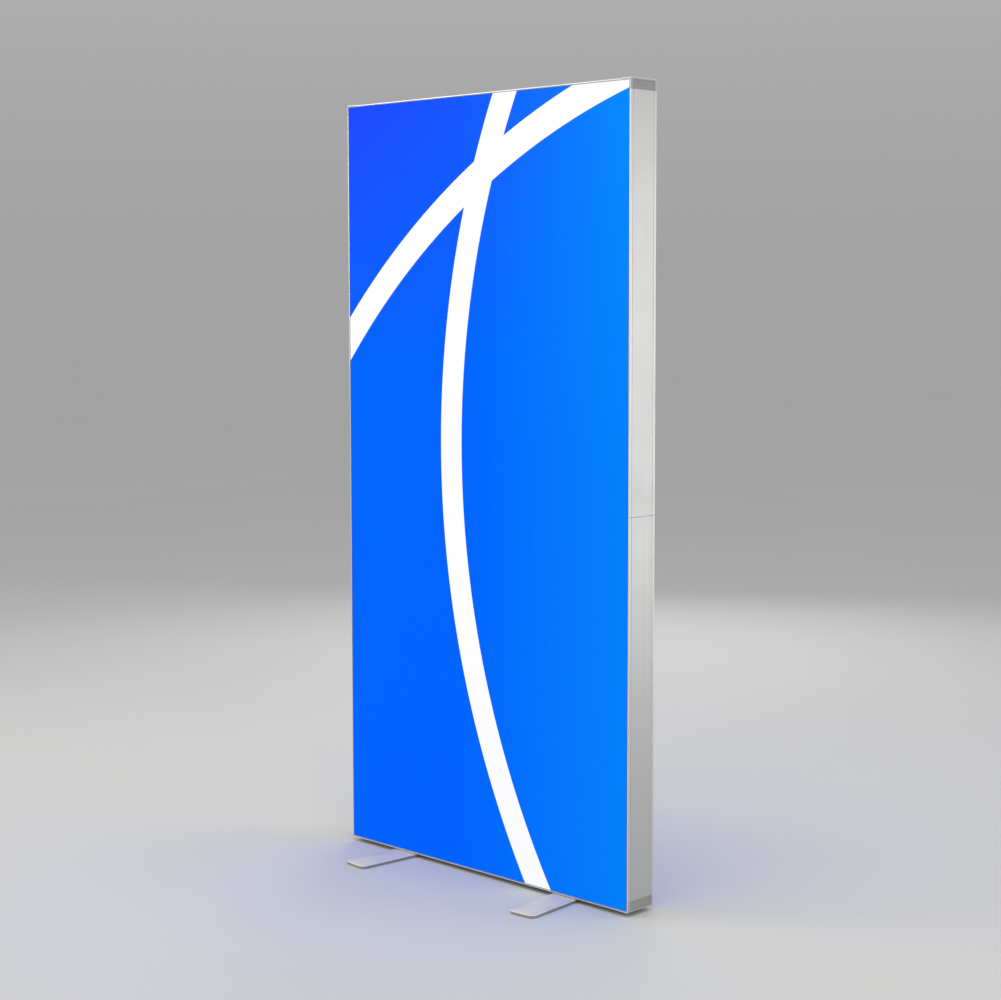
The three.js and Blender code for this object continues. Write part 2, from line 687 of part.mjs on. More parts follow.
// The plug and socket that part when the upright's two lengths are pulled apart.
function riserConnector() {
  const { bottom, length } = RISER_JOINT;
  const part = (size, range) => box(about(RISER_X, size.depth), about(RISER_Y, size.width), range);
  const collarRange = about(bottom + length / 2, RISER_COLLAR.length);
  return join(part(RISER_JOINT, [bottom, bottom + length]), part(RISER_COLLAR, collarRange));
}

// ---- Feet ---------------------------------------------------------------------------------------

function footOutline() {
  const [halfX, halfY, radius] = [FOOT.width / 2, FOOT.length / 2, FOOT.radius];
  const [innerX, innerY] = [halfX - radius, halfY - radius];
  const shape = new THREE.Shape();
  shape.absarc(innerX, innerY, radius, 0, Math.PI / 2);
  shape.absarc(-innerX, innerY, radius, Math.PI / 2, Math.PI);
  shape.absarc(-innerX, -innerY, radius, Math.PI, 1.5 * Math.PI);
  shape.absarc(innerX, -innerY, radius, 1.5 * Math.PI, 2 * Math.PI);
  return shape;
}

const PAD_PLACES = { front: PAD.inset - FOOT.length / 2, rear: FOOT.length / 2 - PAD.inset };

// A steel plate with a bevelled top edge, a countersunk hole and a recess for each rubber pad.
function footPlate() {
  const top = FOOT.raise + FOOT.thickness;
  const slab = new THREE.ExtrudeGeometry(footOutline(), {
    depth: 2 * top,
    curveSegments: 6,
    bevelSegments: 2,
    bevelThickness: FOOT.bevel,
    bevelSize: FOOT.bevel,
    bevelOffset: -FOOT.bevel,
  });
  slab.translate(0, 0, -top - FOOT.bevel);
  const below = box(about(0, FOOT.length), about(0, 2 * FOOT.length), [-4 * top, FOOT.raise]);
  const coneTip = SCREW.headBottom + SCREW.head + SCREW.clearance;
  const countersink = rod('z', [0, 0], coneTip, [0, coneTip - PAST], { endRadius: PAST });
  const hole = rod('z', [0, 0], SCREW.shaft + SCREW.clearance, [0, top + PAST]);
  const recess = [FOOT.raise - PAST, FOOT.raise + PAD.recess];
  const recesses = Object.values(PAD_PLACES).map((y) =>
    box(about(0, PAD.width + 2 * FIT), about(y, PAD.length + 2 * FIT), recess));
  return cut(slab, below, countersink, hole, ...recesses);
}

function footPad(y) {
  return box(about(0, PAD.width), about(y, PAD.length), [0, PAD.thickness]);
}

function footScrew() {
  const neck = SCREW.headBottom + SCREW.head - SCREW.shaft;
  const head = rod('z', [0, 0], SCREW.head, [SCREW.headBottom, neck], { endRadius: SCREW.shaft });
  const shaft = rod('z', [0, 0], SCREW.shaft, [neck - PAST, SCREW.end]);
  const hexTop = SCREW.headBottom + SCREW_HEX.depth;
  const hex = rod('z', [0, 0], SCREW_HEX.radius, [0, hexTop], { sides: 6 });
  return cut(join(head, shaft), hex);
}

function footWasher() {
  const low = FRAME_BASE - (WASHER_GAP + WASHER.thickness) / 2;
  const ring = rod('z', [0, 0], WASHER.outer, [low, low + WASHER.thickness]);
  return cut(ring, rod('z', [0, 0], WASHER.inner, [0, 2 * FRAME_BASE]));
}

function nutPlate() {
  const low = FRAME_BASE + LIP + FIT;
  const plate = box(about(0, NUT_PLATE.size), about(0, NUT_PLATE.size), [low, low + NUT_PLATE.thickness]);
  return cut(plate, rod('z', [0, 0], NUT_PLATE.hole, [0, 2 * low]));
}

function foot(name, place, splay) {
  const turning = group(piece(`${name}_foot`, footPlate(), 'coated'));
  for (const [end, y] of Object.entries(PAD_PLACES)) {
    turning.add(piece(`${name}_foot_${end}_pad`, footPad(y), 'rubber'));
  }
  turning.rotation.z = THREE.MathUtils.degToRad(splay);
  const fixed = group(
    piece(`${name}_foot_screw`, footScrew(), 'steel'),
    piece(`${name}_foot_washer`, footWasher(), 'nylon'),
    piece(`${name}_foot_nut_plate`, nutPlate(), 'steel'),
  );
  const made = group(turning, fixed);
  made.position.x = place;
  return made;
}

// ---- The whole partition ------------------------------------------------------------------------

function leftSide() {
  const left = side('left', inletCuts());
  left.add(
    piece('inlet_housing', inletHousing(), 'black'),
    piece('inlet_contacts', inletContacts(), 'brass'),
    rocker(),
    piece('led_driver', driverCase(), 'driver'),
    piece('driver_tray', driverTray(), 'steel'),
    piece('riser_connector', riserConnector(), 'board'),
    leads(),
  );
  left.position.x = -FRAME_WIDTH / 2;
  return left;
}

function rightSide() {
  const right = side('right', []);
  right.position.x = FRAME_WIDTH / 2;
  right.rotation.z = Math.PI;
  return right;
}

function ledRows() {
  const bottom = ledRow('bottom');
  bottom.position.z = PROFILE_THICKNESS;
  const top = ledRow('top');
  top.position.z = FRAME_HEIGHT - CAP_STEP - PROFILE_THICKNESS;
  top.rotation.x = Math.PI;
  return group(bottom, top);
}

const skins = group(skin('front', -1), skin('rear', 1));
const frame = group(leftSide(), rightSide(), rails(), crossbar(), ledRows(), skins);
frame.position.z = FRAME_BASE;

const partition = group(frame, foot('left', -FOOT_X, -FOOT_SPLAY), foot('right', FOOT_X, FOOT_SPLAY));

export default partition;
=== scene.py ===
"""A freestanding fabric lightbox partition: its finishes, printed skins and small hardware.

Every length is in metres, in the CAD model's frame: +Z up, +X to the right, -Y the front.
"""

import math

import bmesh
import bpy
from mathutils import Matrix, Vector


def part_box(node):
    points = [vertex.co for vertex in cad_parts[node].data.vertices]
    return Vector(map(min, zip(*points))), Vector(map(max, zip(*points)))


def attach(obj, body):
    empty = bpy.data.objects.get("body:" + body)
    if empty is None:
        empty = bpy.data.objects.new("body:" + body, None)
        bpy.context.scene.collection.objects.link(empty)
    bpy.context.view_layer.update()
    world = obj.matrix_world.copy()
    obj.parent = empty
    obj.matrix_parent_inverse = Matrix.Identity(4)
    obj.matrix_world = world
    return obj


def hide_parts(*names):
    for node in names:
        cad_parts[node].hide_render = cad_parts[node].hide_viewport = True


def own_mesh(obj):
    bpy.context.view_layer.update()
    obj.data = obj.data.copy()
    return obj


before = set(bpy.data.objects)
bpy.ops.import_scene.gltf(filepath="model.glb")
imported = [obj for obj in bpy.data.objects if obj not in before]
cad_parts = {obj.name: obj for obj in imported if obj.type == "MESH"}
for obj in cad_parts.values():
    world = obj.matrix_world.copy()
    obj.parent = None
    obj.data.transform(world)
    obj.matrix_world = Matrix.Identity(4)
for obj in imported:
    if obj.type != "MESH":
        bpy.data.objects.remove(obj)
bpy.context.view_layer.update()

MM = 0.001

# ---- Places taken from the frame -----------------------------------------------------------------

frame_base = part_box("bottom_rail")[0].z
frame_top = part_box("top_rail")[1].z
frame_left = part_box("left_upright_lower")[0].x
half_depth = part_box("left_upright_lower")[1].y
block_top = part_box("left_top_corner_block")[1].z
foot_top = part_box("left_foot")[1].z


# ---- Materials -----------------------------------------------------------------------------------


def linear(colour):
    """A display colour of three numbers from 0 to 255, as the linear colour that shaders use."""
    shares = [channel / 255 for channel in colour]
    return tuple(c / 12.92 if c <= 0.04045 else ((c + 0.055) / 1.055) ** 2.4 for c in shares)


def shift(tone, by):
    """A display colour made paler, or darker where `by` is below 0."""
    return tuple(channel + by for channel in tone)


class Look:
    """A material made of one Principled shader and the nodes that feed it."""

    def __init__(self, name, colour, roughness, **constants):
        self.material = bpy.data.materials.new(name)
        self.material.use_nodes = True
        self.tree = self.material.node_tree
        self.shader = self.tree.nodes["Principled BSDF"]
        self.shader.inputs["Base Color"].default_value = (*linear(colour), 1)
        self.shader.inputs["Roughness"].default_value = roughness
        for socket, value in constants.items():
            self.shader.inputs[socket.replace("_", " ")].default_value = value
        self.place = self.node("ShaderNodeTexCoord").outputs["Object"]
        self.normal = None

    def node(self, kind, inputs=(), **settings):
        """Adds a node. Inputs pair a socket's name or number with a value or with another node's output."""
        made = self.tree.nodes.new(kind)
        for key, value in settings.items():
            setattr(made, key, value)
        for socket, value in dict(inputs).items():
            self.feed(made.inputs[socket], value)
        return made

    def feed(self, socket, value):
        """Sets a socket to a value, or links another node's output to it."""
        if isinstance(value, bpy.types.NodeSocket):
            self.tree.links.new(value, socket)
        else:
            socket.default_value = value

    def maths(self, operation, *values):
        return self.node("ShaderNodeMath", enumerate(values), operation=operation).outputs[0]

    def axes(self):
        return self.node("ShaderNodeSeparateXYZ", {0: self.place}).outputs

    def spread(self, value, low, high, to_low=0.0, to_high=1.0, smooth=False):
        """Maps a value's range to another range, and holds it there."""
        inputs = {"Value": value, 1: low, 2: high, 3: to_low, 4: to_high}
        kind = "SMOOTHSTEP" if smooth else "LINEAR"
        return self.node("ShaderNodeMapRange", inputs, interpolation_type=kind).outputs[0]

    def mix(self, share, first, second):
        """A colour between two colours. Each is a display colour or a socket."""
        made = self.node("ShaderNodeMix", data_type="RGBA")
        self.feed(made.inputs["Factor"], share)
        for socket, colour in ((made.inputs[6], first), (made.inputs[7], second)):
            self.feed(socket, colour if isinstance(colour, bpy.types.NodeSocket) else (*linear(colour), 1))
        return made.outputs[2]

    def scaled_place(self, scale):
        return self.node("ShaderNodeMapping", {"Vector": self.place, "Scale": scale}).outputs[0]

    def noise(self, scale, detail=3.0, roughness=0.5):
        """Noise with the given number of features to a metre, along each axis or the same along all."""
        per_axis = scale if isinstance(scale, tuple) else (scale, scale, scale)
        inputs = {"Vector": self.scaled_place(per_axis), "Scale": 1.0}
        inputs.update({"Detail": detail, "Roughness": roughness})
        return self.node("ShaderNodeTexNoise", inputs).outputs[0]

    def cells(self, scale):
        """Cells with the given number to a metre, each with a tone of its own."""
        inputs = {"Vector": self.place, "Scale": scale}
        return self.node("ShaderNodeTexVoronoi", inputs).outputs["Color"]

    def colour(self, value):
        self.feed(self.shader.inputs["Base Color"], value)

    def roughness(self, value):
        self.feed(self.shader.inputs["Roughness"], value)

    def bump(self, height, depth, strength=1.0):
        """Adds relief of the given depth, in metres, over any relief already there."""
        inputs = {"Height": height, "Distance": depth, "Strength": strength}
        if self.normal:
            inputs["Normal"] = self.normal
        self.normal = self.node("ShaderNodeBump", inputs).outputs[0]
        self.feed(self.shader.inputs["Normal"], self.normal)


SCORE_INSET = 9 * MM  # from the profile's front and rear edges to its score lines
BLOCK_BORDER = 5 * MM  # from a corner block's end to its recessed panel
LIP_HIGHLIGHT_DEPTH = 1 * MM  # how far back the painted highlight along each front and rear edge goes
EDGE_HIGHLIGHT_WIDTH = 2 * MM  # how far in from a corner block's outer edges its painted edge highlight goes
FADE = 0.4 * MM  # how far one painted tone takes to turn into the next


def painted_lip_highlight(look):
    """How much of a point gets the painted highlight along the front and rear edges, by its depth in the
    frame, and how far it is from an outer edge.
    """
    depth_left = look.maths("SUBTRACT", half_depth, look.maths("ABSOLUTE", look.axes()["Y"]))
    return look.spread(depth_left, LIP_HIGHLIGHT_DEPTH - FADE, LIP_HIGHLIGHT_DEPTH, 0.85, 0.0), depth_left


def anodised(name, along, tone=(189, 189, 188)):
    """Satin anodised aluminium: extrusion lines along its length, and a painted highlight past its score
    lines.
    """
    look = Look(name, tone, 0.4, Metallic=0.6)
    lines = look.noise(tuple(1.5 if axis == along else 1400.0 for axis in "XYZ"), 4.0)
    bands = look.noise(tuple(0.6 if axis == along else 90.0 for axis in "XYZ"), 2.0)
    cloud = look.noise(7.0)
    lip_highlight, depth_left = painted_lip_highlight(look)
    # Past the score lines, out to the front and rear edges, the colour is paler: a painted highlight.
    edge = look.spread(depth_left, SCORE_INSET - FADE, SCORE_INSET, 0.8, 0.0)
    base = look.mix(look.spread(bands, 0.3, 0.7), shift(tone, -2), shift(tone, 2))
    base = look.mix(look.spread(lines, 0.35, 0.75, 0.0, 0.35), base, shift(tone, 9))
    base = look.mix(edge, base, shift(tone, 12))
    # Along the front and rear edges the colour is much paler: a painted highlight.
    look.colour(look.mix(lip_highlight, base, shift(tone, 60)))
    satin = look.spread(lines, 0.3, 0.7, 0.36, 0.43)
    look.roughness(look.maths("ADD", satin, look.spread(cloud, 0.3, 0.7, 0.0, 0.05)))
    look.bump(lines, 0.012 * MM, 0.4)
    return look.material


def moulding(name, tone=(162, 162, 161)):
    """Spark-eroded grey moulding, with a painted highlight on its raised border and brighter painted
    highlights along its outer edges.
    """
    look = Look(name, tone, 0.55, Specular_IOR_Level=0.45)
    grain = look.noise(2600.0, 2.0, 0.6)
    cloud = look.noise(45.0)
    height = look.axes()["Z"]
    lip_highlight, depth_left = painted_lip_highlight(look)
    above = look.maths("SUBTRACT", height, frame_base)
    end = look.maths("MINIMUM", above, look.maths("SUBTRACT", block_top, height))
    # Painted edge highlight along the block's outer edges, broken up by noise.
    edge = look.spread(look.maths("MINIMUM", depth_left, end), FADE, EDGE_HIGHLIGHT_WIDTH, 0.9, 0.0)
    painted_edge_highlight = look.maths("MULTIPLY", edge, look.spread(cloud, 0.2, 0.6))
    # The raised border round the recessed panel is paler: a painted highlight.
    sides = look.spread(depth_left, SCORE_INSET - FADE, SCORE_INSET, 1.0, 0.0)
    ends = look.spread(end, BLOCK_BORDER - FADE, BLOCK_BORDER, 1.0, 0.0)
    base = look.mix(look.spread(cloud, 0.3, 0.7), shift(tone, -6), shift(tone, 6))
    base = look.mix(look.maths("MAXIMUM", sides, ends), base, shift(tone, 20))
    base = look.mix(look.spread(grain, 0.62, 0.4, 0.0, 0.35), base, shift(tone, -26))
    base = look.mix(painted_edge_highlight, base, shift(tone, 44))
    # Along the front and rear edges the colour is palest: a painted highlight.
    look.colour(look.mix(lip_highlight, base, shift(tone, 74)))
    look.roughness(look.spread(grain, 0.3, 0.7, 0.48, 0.66))
    look.bump(grain, 0.05 * MM, 0.6)
    return look.material


BLUE = (0, 100, 255)
CYAN = (3, 139, 251)
VIOLET = (31, 71, 255)
WHITE = (255, 255, 255)
BAND_HALF = 37.75 * MM  # half of a white band's width
BAND_SOFTNESS = 0.4 * MM
BANDS = (  # each ring's centre, across from the middle and up from the frame's base, and middle radius
    ((1.086, 0.014), 2.08625),
    ((2.022, 1.1055), 2.1275),
)


def printed_colour(look, across, up):
    """The print: blue that turns to cyan on the right and violet at the top left, and two white bands."""
    towards_right = look.spread(across, -0.08, 0.5)
    high = look.spread(up, 1.1, 2.0, 0.72, 1.0)
    blue = look.mix(look.maths("MULTIPLY", towards_right, high), BLUE, CYAN)
    top_left = look.maths("MULTIPLY", look.spread(up, 1.33, 2.0), look.spread(across, -0.5, 0.52, 1.0, 0.0))
    blue = look.mix(top_left, blue, VIOLET)
    place = look.node("ShaderNodeCombineXYZ", {0: across, 1: up}).outputs[0]
    inside = None
    for (x, z), radius in BANDS:
        inputs = {0: place, 1: (x, z, 0)}
        distance = look.node("ShaderNodeVectorMath", inputs, operation="DISTANCE").outputs["Value"]
        off = look.maths("ABSOLUTE", look.maths("SUBTRACT", distance, radius))
        band = look.spread(off, BAND_HALF - BAND_SOFTNESS, BAND_HALF + BAND_SOFTNESS, 1.0, 0.0)
        inside = look.maths("MAXIMUM", inside, band) if inside else band
    return look.mix(inside, blue, WHITE)


PRINT_GLOW = 0.695  # brightness of the print's own colours, lit from behind
PRINT_DYE = 0.45  # share of the light falling on the front of the cloth that its colours send back
GLOW_START = 3.4 * MM  # in from the outer edges of the rails and uprights, where the glow starts
GLOW_FULL = 5.8 * MM  # and where it is full
KNIT_PITCH = 0.45 * MM  # from one wale of the knit to the next
COURSES_PER_WALE = 1.2


def printed_fabric(name, facing):
    """Back-lit polyester knit. `facing` is -1 for the front and 1 for the rear, as the print is seen."""
    look = Look(name, BLUE, 0.9, Specular_IOR_Level=0.02)
    x, y, z = (look.axes()[i] for i in range(3))
    across = look.maths("MULTIPLY", x, -facing)
    up = look.maths("SUBTRACT", z, frame_base)
    ink = printed_colour(look, across, up)
    turns = 2 * math.pi / KNIT_PITCH
    wales = look.maths("SINE", look.maths("MULTIPLY", x, turns))
    courses = look.maths("SINE", look.maths("MULTIPLY", z, turns * COURSES_PER_WALE))
    knit = look.maths("MULTIPLY", wales, courses)
    slub = look.noise((60.0, 60.0, 9.0), 2.0)
    uneven = look.spread(slub, 0.3, 0.7, -0.012, 0.012)
    shade = look.maths("ADD", look.spread(knit, -1.0, 1.0, 0.93, 1.0), uneven)
    side = look.maths("SUBTRACT", -frame_left, look.maths("ABSOLUTE", x))
    ends = look.maths("MINIMUM", up, look.maths("SUBTRACT", frame_top - frame_base, up))
    rim = look.spread(look.maths("MINIMUM", side, ends), GLOW_START, GLOW_FULL, smooth=True)
    glow = look.maths("MULTIPLY", look.maths("MULTIPLY", rim, shade), PRINT_GLOW)
    lit = look.node("ShaderNodeVectorMath", {0: ink, 3: glow}, operation="SCALE").outputs[0]
    dyed = look.node("ShaderNodeVectorMath", {0: ink, 3: PRINT_DYE}, operation="SCALE").outputs[0]
    look.colour(dyed)
    look.feed(look.shader.inputs["Emission Color"], lit)
    look.shader.inputs["Emission Strength"].default_value = 1.0
    look.bump(knit, 0.06 * MM, 0.5)
    return look.material


def silicone(name):
    look = Look(name, (232, 234, 235), 0.45, Subsurface_Weight=0.2, Subsurface_Scale=0.002)
    haze = look.noise(220.0)
    look.colour(look.mix(look.spread(haze, 0.3, 0.7), (222, 225, 227), (240, 241, 242)))
    look.roughness(look.spread(haze, 0.3, 0.7, 0.38, 0.55))
    look.bump(look.noise((8.0, 500.0, 500.0)), 0.05 * MM, 0.4)
    return look.material


def plated(name, tone=(178, 180, 183)):
    """Zinc-plated steel: a fine crystal spangle and faint rolling marks."""
    look = Look(name, tone, 0.3, Metallic=1.0)
    spangle = look.cells(420.0)
    cloud = look.noise(60.0)
    patches = look.mix(look.spread(spangle, 0.0, 1.0, 0.0, 0.5), tone, shift(tone, -26))
    look.colour(look.mix(look.spread(cloud, 0.35, 0.7, 0.0, 0.5), patches, (196, 192, 180)))
    look.roughness(look.spread(cloud, 0.3, 0.7, 0.24, 0.42))
    look.bump(look.noise((900.0, 900.0, 40.0)), 0.02 * MM, 0.4)
    return look.material


FOOT_BEVEL = 2.5 * MM  # depth of the bevel round a foot plate's top
BEVEL_HIGHLIGHT_START = 0.05 * MM  # how far below a plate's top its colour starts to turn into the bevel's painted highlight


# The coat's warm tone offsets the blue light that the print casts on the feet.
def coated(name, tone=(226, 219, 202)):
    """Silver powder coat with orange peel and flecks, a painted highlight on the bevel and painted shade
    down the sides.
    """
    look = Look(name, tone, 0.5, Metallic=0.1, Coat_Weight=0.12, Coat_Roughness=0.35)
    flecks = look.cells(5200.0)
    peel = look.noise(620.0, 2.0)
    cloud = look.noise(18.0)
    below = look.maths("SUBTRACT", foot_top, look.axes()["Z"])
    base = look.mix(look.spread(cloud, 0.3, 0.7), shift(tone, -5), shift(tone, 5))
    base = look.mix(look.spread(flecks, 0.6, 1.0, 0.0, 0.4), base, shift(tone, 20))
    # A painted highlight on the bevel, and painted shade down the plate's sides.
    base = look.mix(look.spread(below, BEVEL_HIGHLIGHT_START, FADE), base, (255, 253, 246))
    side = look.spread(below, FOOT_BEVEL - FADE, FOOT_BEVEL)
    look.colour(look.mix(side, base, shift(tone, -58)))
    look.roughness(look.spread(peel, 0.3, 0.7, 0.46, 0.6))
    look.bump(peel, 0.06 * MM, 0.35)
    return look.material


TRACK_ACROSS = 8 * MM  # from an LED board's middle line to each of its tracks
TRACK_HALF = 1.2 * MM  # half of a track's width, without its sloping sides
TRACK_SLOPE = 0.3 * MM


def solder_mask(name):
    """White solder mask on aluminium, with copper tracks that show through as a faint relief."""
    look = Look(name, (238, 240, 236), 0.42)
    across = look.axes()["Y"]
    track = look.maths("ABSOLUTE", look.maths("SUBTRACT", look.maths("ABSOLUTE", across), TRACK_ACROSS))
    raised = look.spread(track, TRACK_HALF, TRACK_HALF + TRACK_SLOPE, 1.0, 0.0)
    dust = look.noise(900.0)
    look.colour(look.mix(look.maths("MULTIPLY", raised, 0.6), (240, 242, 238), (224, 228, 216)))
    look.roughness(look.spread(dust, 0.3, 0.7, 0.36, 0.5))
    look.bump(raised, 0.035 * MM)
    look.bump(dust, 0.01 * MM, 0.5)
    return look.material


def clear_lens(name):
    look = Look(name, (236, 244, 250), 0.06, Transmission_Weight=0.85, IOR=1.49)
    frost = look.noise(1500.0)
    look.roughness(look.spread(frost, 0.4, 0.8, 0.04, 0.16))
    look.colour(look.mix(look.spread(look.noise(30.0), 0.3, 0.7), (228, 238, 246), (244, 249, 252)))
    look.bump(frost, 0.01 * MM, 0.4)
    return look.material


def cast_case(name, tone=(150, 152, 155)):
    """Bead-blasted, anodised driver case."""
    look = Look(name, tone, 0.5, Metallic=0.75)
    blast = look.noise(3200.0, 2.0)
    cloud = look.noise(25.0)
    look.colour(look.mix(look.spread(cloud, 0.3, 0.7), shift(tone, -8), shift(tone, 8)))
    look.roughness(look.spread(blast, 0.3, 0.7, 0.42, 0.58))
    look.bump(blast, 0.03 * MM, 0.6)
    return look.material


def black_plastic(name, tone=(24, 25, 27), roughness=0.42):
    """Fine-textured black moulding with a slight greying on its high spots."""
    look = Look(name, tone, roughness)
    grain = look.noise(2400.0, 2.0)
    cloud = look.noise(120.0)
    base = look.mix(look.spread(cloud, 0.3, 0.7), tone, shift(tone, 7))
    look.colour(look.mix(look.spread(grain, 0.55, 0.8, 0.0, 0.5), base, shift(tone, 22)))
    look.roughness(look.spread(grain, 0.3, 0.7, roughness - 0.08, roughness + 0.1))
    look.bump(grain, 0.03 * MM, 0.5)
    return look.material


def contact_metal(name):
    look = Look(name, (206, 190, 150), 0.25, Metallic=1.0)
    marks = look.noise((60.0, 1500.0, 1500.0))
    look.colour(look.mix(look.spread(marks, 0.3, 0.7), (196, 178, 134), (216, 204, 170)))
    look.roughness(look.spread(marks, 0.3, 0.7, 0.18, 0.34))
    look.bump(marks, 0.01 * MM, 0.5)
    return look.material


def sheath(name, tone=(226, 226, 222)):
    """Matt PVC lead sheath with the faint lay of the cores under it."""
    look = Look(name, tone, 0.55, Subsurface_Weight=0.05, Subsurface_Scale=0.001)
    scuff = look.noise(340.0)
    look.colour(look.mix(look.spread(scuff, 0.3, 0.7), shift(tone, -10), shift(tone, 6)))
    look.roughness(look.spread(scuff, 0.3, 0.7, 0.46, 0.64))
    look.bump(look.noise((700.0, 700.0, 60.0)), 0.05 * MM, 0.5)
    return look.material


def rubber(name):
    """Black rubber with a dusty bloom."""
    look = Look(name, (30, 30, 31), 0.85)
    bloom = look.noise(160.0)
    look.colour(look.mix(look.spread(bloom, 0.4, 0.8), (26, 26, 27), (52, 52, 52)))
    look.roughness(look.spread(bloom, 0.3, 0.7, 0.78, 0.92))
    look.bump(look.noise(1800.0), 0.06 * MM, 0.6)
    return look.material


def nylon(name):
    look = Look(name, (238, 237, 230), 0.5, Subsurface_Weight=0.15, Subsurface_Scale=0.001)
    haze = look.noise(260.0)
    look.colour(look.mix(look.spread(haze, 0.3, 0.7), (230, 229, 220), (243, 242, 237)))
    look.roughness(look.spread(haze, 0.3, 0.7, 0.42, 0.58))
    look.bump(haze, 0.02 * MM, 0.5)
    return look.material


def phosphor(name):
    """The yellow fill of an LED package, slightly uneven where it has set."""
    look = Look(name, (236, 214, 92), 0.35, Subsurface_Weight=0.1, Subsurface_Scale=0.0005)
    cloud = look.noise(1800.0)
    look.colour(look.mix(look.spread(cloud, 0.3, 0.7), (230, 204, 74), (240, 222, 112)))
    look.roughness(look.spread(cloud, 0.3, 0.7, 0.28, 0.42))
    look.bump(cloud, 0.01 * MM, 0.4)
    return look.material


LOOKS = {
    "upright": anodised("upright_aluminium", "Z"),
    "rail": anodised("rail_aluminium", "X"),
    "bar": anodised("bar_aluminium", "X", (182, 182, 182)),
    "moulding": moulding("grey_moulding"),
    "front_print": printed_fabric("front_print", -1),
    "rear_print": printed_fabric("rear_print", 1),
    "silicone": silicone("clear_silicone"),
    "plated": plated("zinc_plate"),
    "spring": plated("spring_steel", (150, 152, 156)),
    # The splices are darker than the other zinc plate: painted shade where they show in the seam's gap.
    "splice": plated("splice_steel_painted_shade", (128, 130, 134)),
    "coated": coated("silver_powder_coat"),
    "board": solder_mask("white_solder_mask"),
    "lens": clear_lens("lens_acrylic"),
    "case": cast_case("driver_aluminium"),
    "black": black_plastic("black_moulding"),
    "rocker": black_plastic("rocker_moulding", (18, 18, 19), 0.3),
    "contact": contact_metal("contact_brass"),
    "sheath": sheath("white_sheath"),
    "connector": sheath("connector_nylon", (236, 235, 228)),
    "rubber": rubber("black_rubber"),
    "nylon": nylon("white_nylon"),
    "package": nylon("led_package"),
    "phosphor": phosphor("led_phosphor"),
}

# ---- CAD nodes that stay --------------------------------------------------------------------------

WELD = 0.002 * MM  # corners of a CAD node that are closer than this are joined
COPLANAR = math.radians(1)  # facets that meet at less than this angle become one


def dress(name, look):
    """Gives a CAD node its look, with smooth shading over its welded facets."""
    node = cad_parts[name]
    mesh = node.data
    mesh.materials.clear()
    mesh.materials.append(LOOKS[look])
    if "custom_normal" in mesh.attributes:
        mesh.attributes.remove(mesh.attributes["custom_normal"])
    mesh.shade_smooth()
    node.modifiers.new("weld", "WELD").merge_threshold = WELD
    return node


def ease(name, look, width=0.25 * MM, segments=2, angle=32):
    """Gives a CAD node its look, and rounds its sharp edges a little."""
    node = dress(name, look)
    flat = node.modifiers.new("flatten", "DECIMATE")
    flat.decimate_type = "DISSOLVE"
    flat.angle_limit = COPLANAR
    bevel = node.modifiers.new("ease", "BEVEL")
    bevel.width = width
    bevel.segments = segments
    bevel.limit_method = "ANGLE"
    bevel.angle_limit = math.radians(angle)
    bevel.harden_normals = True


def round_lead(name):
    """Gives a lead its sheath, and rounds its facets and the chords of its bends."""
    smooth = dress(name, "sheath").modifiers.new("round", "SUBSURF")
    smooth.levels = smooth.render_levels = 2


SIDES = ("left", "right")
ENDS = ("bottom", "top")
FACES = ("front", "rear")

for side in SIDES:
    ease(f"{side}_upright_lower", "upright")
    ease(f"{side}_upright_upper", "upright")
    ease(f"{side}_splice", "splice", 0.4 * MM)
    ease(f"{side}_crossbar_bracket", "plated", 0.3 * MM)
    ease(f"{side}_foot", "coated", 0.3 * MM)
    ease(f"{side}_foot_screw", "plated", 0.2 * MM)
    ease(f"{side}_foot_washer", "nylon", 0.2 * MM)
    ease(f"{side}_foot_nut_plate", "plated", 0.5 * MM)
    for end in ENDS:
        ease(f"{side}_{end}_corner_block", "moulding", 0.5 * MM, 3)
        ease(f"{side}_{end}_snap_button", "black", 0.2 * MM)
    for face in FACES:
        ease(f"{side}_foot_{face}_pad", "rubber", 0.4 * MM)
for end in ENDS:
    ease(f"{end}_rail", "rail")
    ease(f"{end}_led_board", "board", 0.15 * MM)
    ease(f"{end}_led_optics", "lens", 0.15 * MM)
for face in FACES:
    for edge in ENDS + SIDES:
        ease(f"{face}_{edge}_edge_strip", "silicone", 0.5 * MM, 3)
ease("crossbar", "bar", 0.6 * MM, 3)
ease("led_driver", "case", 0.4 * MM)
ease("driver_tray", "plated", 0.3 * MM)
ease("inlet_housing", "black", 0.5 * MM, 3)
ease("inlet_contacts", "contact", 0.2 * MM)
ease("rocker_switch", "rocker", 0.4 * MM, 3)
ease("riser_connector", "connector", 0.4 * MM)
for name in ("mains_lead", "bottom_led_lead", "lower_riser_lead", "upper_riser_lead"):
    round_lead(name)

# ---- Mesh building ---------------------------------------------------------------------------------

SHARP = math.radians(40)  # edges that turn by more than this stay sharp


def finish_piece(name, bm, look, body="frame", replaces=(), smooth=True):
    """Makes a piece from a bmesh in the frame's own coordinates, and says what it rides on."""
    bmesh.ops.recalc_face_normals(bm, faces=bm.faces)
    mesh = bpy.data.meshes.new(name)
    bm.to_mesh(mesh)
    bm.free()
    mesh.materials.append(LOOKS[look])
    if smooth:
        mesh.shade_smooth()
        mesh.set_sharp_from_angle(angle=SHARP)
    made = bpy.data.objects.new(name, mesh)
    bpy.context.scene.collection.objects.link(made)
    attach(made, body)
    if replaces:
        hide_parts(*replaces)
    return made


